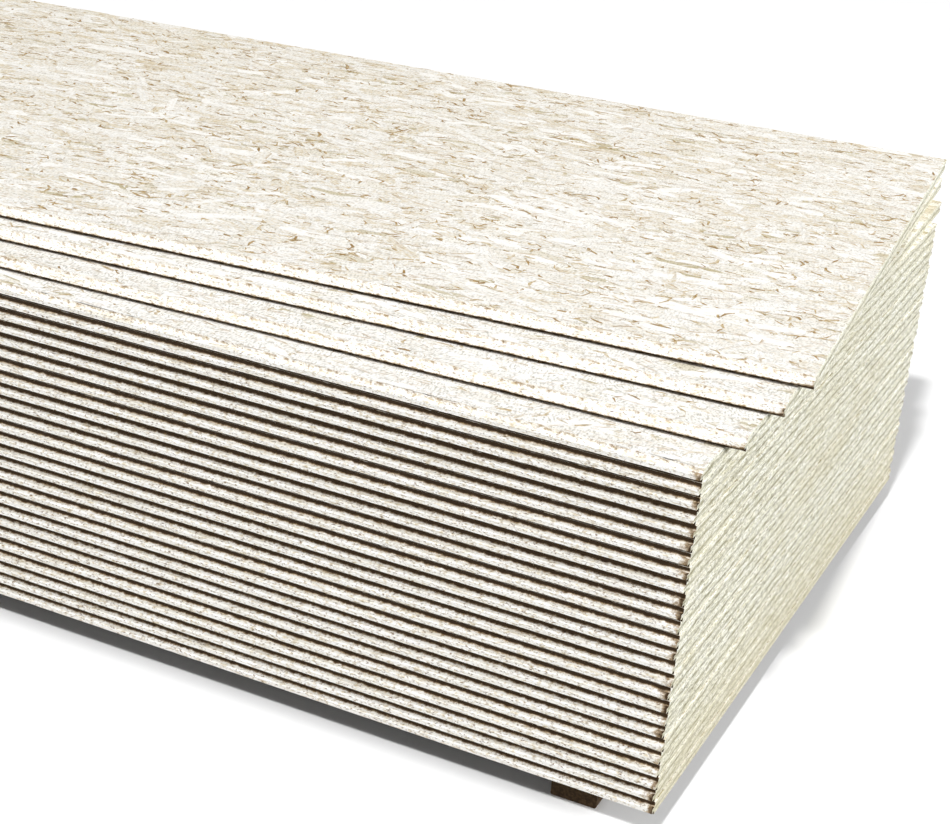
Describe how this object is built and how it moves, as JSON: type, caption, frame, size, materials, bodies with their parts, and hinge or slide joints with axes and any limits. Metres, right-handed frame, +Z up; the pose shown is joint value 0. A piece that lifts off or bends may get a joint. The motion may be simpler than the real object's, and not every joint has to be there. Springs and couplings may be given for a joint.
{
  "type": "stack of osb panels",
  "caption": "Stack of pale tongue-and-groove OSB panels with plain sawn ends, the top panels fanned out, lying on timber bearers.",
  "frame": {"origin": "middle of the middle bearer's underside, below the centre of the square stack", "axes": "+Z up, +X along the panels' length, -Y towards the tongued edges"},
  "size_m": [2.4929, 1.4247, 0.567],
  "materials": {
    "osb": "matte",
    "bearer": "matte"
  },
  "bodies": {
    "root": {"bearer_1": "bearer", "bearer_2": "bearer", "bearer_3": "bearer", "panel_01": "osb", "panel_02": "osb", "panel_03": "osb", "panel_04": "osb", "panel_05": "osb", "panel_06": "osb", "panel_07": "osb", "panel_08": "osb", "panel_09": "osb", "panel_10": "osb", "panel_11": "osb", "panel_12": "osb", "panel_13": "osb", "panel_14": "osb", "panel_15": "osb", "panel_16": "osb", "panel_17": "osb", "panel_18": "osb", "panel_19": "osb", "panel_20": "osb", "panel_21": "osb", "panel_22": "osb", "panel_23": "osb", "panel_24": "osb", "panel_25": "osb", "panel_26": "osb", "panel_27": "osb", "panel_28": "osb", "panel_29": "osb"}
  },
  "joints": []
}
